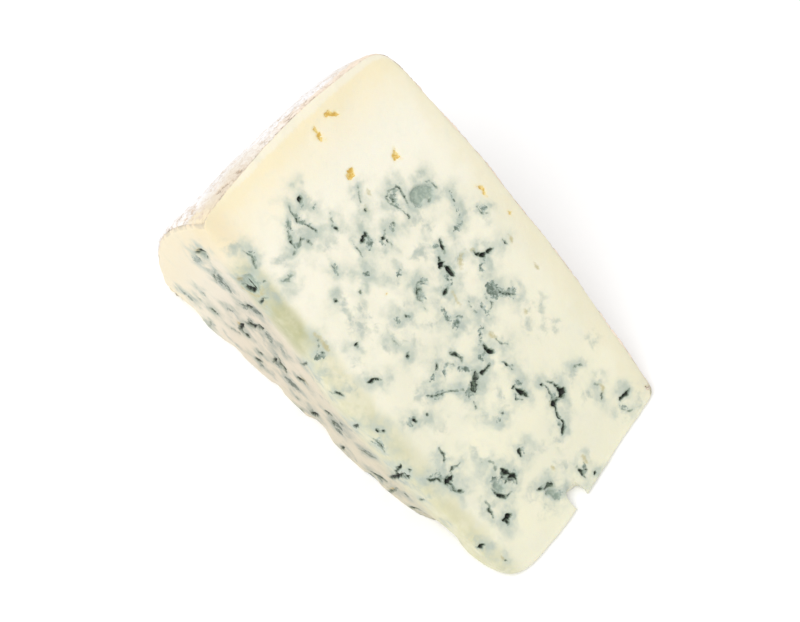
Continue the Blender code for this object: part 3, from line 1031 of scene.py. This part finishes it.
def add_bump(shader, height, distance):
    inputs = {"Strength": 0.5, "Distance": distance, "Height": height}
    put(shader, {"Normal": add_node(shader.id_data, "ShaderNodeBump", inputs).outputs["Normal"]})


def new_group(name, inputs, output, output_kind):
    """A node group with those inputs, as (name, kind), and one output."""
    group = bpy.data.node_groups.new(name, "ShaderNodeTree")
    for label, kind in inputs:
        group.interface.new_socket(name=label, in_out="INPUT", socket_type=kind)
    group.interface.new_socket(name=output, in_out="OUTPUT", socket_type=output_kind)
    return group, add_node(group, "NodeGroupInput"), add_node(group, "NodeGroupOutput")


def make_grain_group():
    """Noise laid out in the object's own space."""
    kinds = ("NodeSocketFloat",) * 4
    group, given, out = new_group("grain", zip(GRAIN_INPUTS, kinds), "Amount", "NodeSocketFloat")
    texture = add_node(group, "ShaderNodeTexNoise")
    put(texture, {"Vector": add_node(group, "ShaderNodeTexCoord").outputs["Object"]})
    put(texture, {label: given.outputs[label] for label in GRAIN_INPUTS})
    put(out, {"Amount": texture.outputs["Fac"]})
    return group


def make_tone_group():
    """A tone laid over a colour as a value passes from one bound to another."""
    kinds = ("NodeSocketColor",) * 2 + ("NodeSocketFloat",) * 4
    group, given, out = new_group("tone over", zip(TONE_INPUTS, kinds), "Color", "NodeSocketColor")
    below, tone, value, low, high, share = [given.outputs[label] for label in TONE_INPUTS]
    put(out, {"Color": mix(ramp(value, low, high, 0.0, share), below, tone)})
    return group


def over(below, value, low, high, share, tone):
    """A tone laid over a colour where a value has passed from one bound to the other."""
    inputs = dict(zip(TONE_INPUTS, (below, tone, value, low, high, share)))
    return add_node(value.id_data, "ShaderNodeGroup", inputs, node_tree=tone_group).outputs["Color"]


def paste_material():
    """Cream paste, whiter towards the rind, with the tones of its edges and of its mould laid over it, and
    painted shade on its cut end.
    """
    material, tree, shader = new_material("paste")
    fine = grain(tree, 0.6 * MM, 3.0, 0.65)
    broad = grain(tree, 13 * MM, 2.0)
    patchy = grain(tree, 4 * MM)
    specks = grain(tree, 1.1 * MM, 4.0, 0.7, 0.4)
    ragged = ramp(fine, 0.2, 0.8, -0.5, 0.5)
    cloudy = ramp(patchy, 0.25, 0.75, -1.2, 1.2)
    radius = attribute(tree, "radius")
    # Paste darker towards the tip and whiter towards the rind
    base = mix(ramp(radius, 5.0, 85.0), colour(243, 240, 213), colour(250, 245, 226))
    darker_to_tip = ramp(radius, 60.0, 84.0, 0.6, 0.1)
    base = over(base, broad, 0.36, 0.64, darker_to_tip, colour(236, 234, 211))
    base = over(base, patchy, 0.45, 0.65, 0.25, colour(248, 244, 225))
    base = edge_tones(tree, base, cloudy, patchy)
    base = mould_tones(tree, base, ragged, cloudy, specks)
    # Painted shade on the cut end, lighter towards the rind
    painted_shade = times(attribute(tree, "cut_end"), ramp(radius, 72.0, 98.0, 1.0, 0.3))
    base = mix(painted_shade, base, colour(233, 225, 221), "MULTIPLY")
    put(shader, {"Base Color": base, "Roughness": ramp(fine, 0.3, 0.7, 0.42, 0.6)})
    put(shader, {"Subsurface Weight": 0.15, "Subsurface Scale": 1.0 * MM})
    put(shader, {"Subsurface Radius": (1.0, 0.8, 0.5)})
    add_bump(shader, plus(fine, specks), 0.12 * MM)
    return material


def edge_tones(tree, base, cloudy, patchy):
    """Olive painted shade along the crease, and towards the rind a yellow band, a cream line, and a tan and
    grey rim.
    """
    below = times(plus(attribute(tree, "below_upper_cut"), -1.0), 0.42)
    away = math_of("MAXIMUM", plus(attribute(tree, "along"), -1.4), below)
    radius = attribute(tree, "radius")
    # Painted shade, tinted olive, along the rounded crease where the upper cut turns down to the cut end
    crease = ramp(plus(away, times(cloudy, 0.8)), 0.4, 4.0, 1.0, 0.0)
    crease = times(crease, ramp(radius, 92.0, 84.0))
    crease = times(crease, ramp(cloudy, -1.2, 0.8, 0.4, 0.75))
    base = mix(crease, base, colour(212, 209, 168))
    # A narrower, darker line of painted shade within it
    crease_shade_line = ramp(plus(away, times(cloudy, 0.4)), 0.4, 2.6, 1.0, 0.0)
    crease_shade_line = times(crease_shade_line, ramp(radius, 61.0, 68.0))
    crease_shade_line = times(crease_shade_line, ramp(radius, 92.0, 84.0))
    crease_shade_line = times(crease_shade_line, ramp(patchy, 0.3, 0.6, 0.55, 0.9))
    base = mix(crease_shade_line, base, colour(188, 188, 144))
    from_rind = plus(attribute(tree, "from_rind"), cloudy)
    from_flat = plus(attribute(tree, "from_flat_end"), cloudy)
    base = over(base, from_rind, 17.0, 3.5, 0.75, colour(249, 237, 205))
    yellow = ramp(attribute(tree, "cut_end"), 0.2, 0.9, 0.7, 0.2)
    base = over(base, from_rind, 7.0, 2.4, yellow, colour(249, 235, 196))
    base = over(base, from_flat, 9.0, 1.5, 0.7, colour(240, 232, 201))
    corner = times(ramp(radius, 84.0, 96.0), ramp(away, 7.0, 1.0, 0.0, 0.8))
    corner = times(corner, ramp(attribute(tree, "cut_end"), 0.2, 0.9, 1.0, 0.4))
    base = mix(corner, base, colour(241, 226, 190))
    edge = plus(attribute(tree, "from_rind"), times(cloudy, 0.25))
    cream = ramp(attribute(tree, "along"), 6.0, 14.0, 0.0, 0.75)
    base = over(base, edge, 2.0, 1.2, cream, colour(250, 243, 222))
    skin = plus(attribute(tree, "skin"), times(cloudy, 0.06))
    grey = ramp(attribute(tree, "along"), 34.0, 12.0, 0.15, 1.0)
    grey = times(ramp(patchy, 0.46, 0.58), grey)
    rim = mix(grey, colour(244, 224, 196), colour(196, 184, 164))
    return over(base, skin, 0.3, 0.5, 0.7, rim)


def mark(tree, name, ragged, amount):
    """How far inside a kind of mark the skin is, in mm, with a more ragged outline."""
    return plus(attribute(tree, name), times(ragged, amount))


def mould_tones(tree, base, ragged, cloudy, specks):
    """Blue-grey mould: soft spreads and wisps first, then plates, hollows, pits, lines, eyes and slits, the
    slits black with dark mould and painted shadow.
    """
    bleed = plus(attribute(tree, "bleed"), cloudy)
    between_curds = ramp(grain(tree, 4.5 * MM, 2.0, 0.5, 0.2), 0.3, 0.64)
    halo = times(ramp(bleed, -4.0, 0.6), between_curds)
    base = mix(halo, base, colour(203, 210, 194))
    base = over(base, bleed, -1.2, 0.8, 0.35, colour(192, 201, 188))
    stain = mark(tree, "stain", ragged, 0.6)
    wisps = grain(tree, 2.2 * MM, 3.0, 0.55, 0.3)
    cover = ramp(wisps, 0.36, 0.66, 0.3, 0.85)
    base = over(base, stain, -1.0, 0.9, cover, colour(184, 194, 184))
    reach = math_of("MAXIMUM", bleed, plus(attribute(tree, "stain"), 0.4))
    wisps = times(ramp(reach, -2.2, 0.0), ramp(wisps, 0.44, 0.7, 0.0, 0.6))
    base = mix(wisps, base, colour(180, 191, 178))

    plate = mark(tree, "plate", ragged, 1.0)
    mould = mix(ramp(specks, 0.38, 0.5), colour(192, 203, 192), colour(144, 160, 148))
    mould = mix(ramp(specks, 0.5, 0.62), mould, colour(88, 106, 92))
    mould = over(mould, plate, 0.35, 0.9, 0.85, colour(84, 104, 90))
    base = over(base, plate, -0.8, 0.0, 0.4, colour(202, 210, 197))
    base = over(base, plate, -0.12, 0.14, 0.92, mould)
    hollow = mark(tree, "hollow", ragged, 0.6)
    hollow_floor = mix(ramp(specks, 0.38, 0.62), colour(176, 189, 174), colour(150, 166, 152))
    base = over(base, hollow, -0.8, 0.0, 0.6, colour(190, 201, 188))
    base = over(base, hollow, -0.1, 0.4, 0.9, hollow_floor)

    pit = mark(tree, "pit", ragged, 0.5)
    dark = mix(ramp(specks, 0.42, 0.56), colour(114, 130, 110), colour(48, 60, 48))
    base = over(base, pit, -0.8, 0.0, 0.7, colour(162, 176, 160))
    base = over(base, pit, -0.08, 0.1, 1.0, dark)
    line = mark(tree, "line", ragged, 0.4)
    base = over(base, line, -0.5, 0.2, 0.75, colour(198, 188, 138))

    eye = mark(tree, "eye", ragged, 0.3)
    gold = mix(ramp(specks, 0.42, 0.6), colour(244, 220, 146), colour(222, 182, 84))
    base = over(base, eye, -0.6, 0.0, 0.5, colour(246, 233, 188))
    base = over(base, eye, -0.1, 0.12, 1.0, gold)

    slit = mark(tree, "slit", ragged, 0.2)
    base = over(base, slit, -1.0, -0.1, 0.45, colour(194, 204, 190))
    # From here the slits darken to black: dark mould with painted shadow in the deep crack
    slit = plus(slit, times(cloudy, 0.07))
    base = over(base, slit, -0.3, -0.04, 0.8, colour(130, 146, 130))
    base = over(base, slit, -0.03, 0.05, 0.95, colour(62, 76, 58))
    return over(base, slit, 0.12, 0.18, 1.0, colour(16, 22, 13))


def rind_material():
    """White powder on the plates of the crust, tan and grey-brown in its cracks, peach near the cut."""
    material, tree, shader = new_material("rind")
    fine = grain(tree, 0.5 * MM, 4.0, 0.7)
    flakes = grain(tree, 1.6 * MM, 4.0, 0.7, 0.6)
    blotch = grain(tree, 5 * MM, 4.0, 0.65, 0.8)
    broad = grain(tree, 17 * MM, 2.0)
    raised = plus(attribute(tree, "raised"), ramp(fine, 0.2, 0.8, -0.15, 0.15))
    along = attribute(tree, "along")
    below = plus(attribute(tree, "below_upper_cut"), ramp(blotch, 0.3, 0.7, -3.0, 3.0))
    bloom = mix(ramp(broad, 0.4, 0.6), colour(254, 252, 252), colour(248, 243, 236))
    bloom = over(bloom, blotch, 0.54, 0.64, 0.5, colour(240, 222, 202))
    bloom = over(bloom, flakes, 0.52, 0.58, 0.6, colour(224, 210, 196))
    tan = times(ramp(along, 26.0, 8.0, 0.0, 0.8), ramp(below, 13.0, 2.0))
    bloom = mix(tan, bloom, colour(230, 214, 186))
    peach = times(ramp(along, 18.0, 36.0, 0.0, 0.8), ramp(below, 5.0, 1.5))
    bloom = mix(peach, bloom, colour(249, 229, 206))
    corner = times(ramp(along, 6.0, 1.5, 0.0, 0.9), ramp(below, 8.0, 3.0))
    bloom = mix(corner, bloom, colour(243, 228, 196))
    bloom = mix(times(attribute(tree, "flat_end"), 0.4), bloom, colour(230, 221, 210))
    crack = mix(ramp(blotch, 0.42, 0.6), colour(174, 157, 138), colour(206, 175, 143))
    base = over(bloom, raised, -0.1, -0.32, 0.65, colour(226, 208, 188))
    base = over(base, raised, -0.3, -0.5, 0.85, crack)
    put(shader, {"Base Color": base, "Roughness": ramp(fine, 0.3, 0.7, 0.75, 0.95)})
    add_bump(shader, fine, 0.15 * MM)
    return material


# --- Stage ---


def add_camera():
    level = math.cos(CAMERA_RISE)
    back = Vector((math.sin(CAMERA_TURN) * level, -math.cos(CAMERA_TURN) * level, math.sin(CAMERA_RISE)))
    right = Vector((math.cos(CAMERA_TURN), math.sin(CAMERA_TURN), 0))
    right = right * math.cos(CAMERA_ROLL) + back.cross(right) * math.sin(CAMERA_ROLL)
    axes = Matrix((right, back.cross(right), back)).transposed()
    camera = bpy.data.objects.new("camera", bpy.data.cameras.new("camera"))
    camera.data.lens = CAMERA_LENS
    camera.data.clip_start = NEAREST_SEEN
    camera.matrix_world = Matrix.Translation(CAMERA_AIM + CAMERA_DISTANCE * back) @ axes.to_4x4()
    bpy.context.scene.collection.objects.link(camera)
    bpy.context.scene.camera = camera


def add_floor():
    deselect_all()
    bpy.ops.mesh.primitive_plane_add(size=FLOOR_SIZE, location=(0, 0, 0))
    floor = bpy.context.object
    floor.name = "floor"
    material, _, shader = new_material("floor")
    put(shader, {"Base Color": (*[FLOOR_TONE] * 3, 1), "Roughness": 0.9})
    put(shader, {"Emission Color": (1, 1, 1, 1), "Emission Strength": FLOOR_GLOW})
    floor.data.materials.append(material)


def add_light():
    """An even white room with one soft light over the wedge, shown in plain colours."""
    world = bpy.data.worlds.new("studio")
    world.use_nodes = True
    put(world.node_tree.nodes["Background"], {"Color": (1, 1, 1, 1), "Strength": ROOM_LIGHT})
    bpy.context.scene.world = world
    key = bpy.data.objects.new("key", bpy.data.lights.new("key", "AREA"))
    key.data.shape = "DISK"
    key.data.size = KEY_WIDTH
    key.data.energy = KEY_WATTS
    key.location = KEY_PLACE
    key.rotation_euler = KEY_PLACE.to_track_quat("Z", "Y").to_euler()
    bpy.context.scene.collection.objects.link(key)
    bpy.context.scene.view_settings.view_transform = "Standard"


paste = make_paste()
rind = make_rind()
grain_group = make_grain_group()
tone_group = make_tone_group()
for piece, material in ((paste, paste_material()), (rind, rind_material())):
    piece.data.materials.append(material)
    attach(piece, "root")
    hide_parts("cheese_wedge")
add_floor()
add_light()
add_camera()
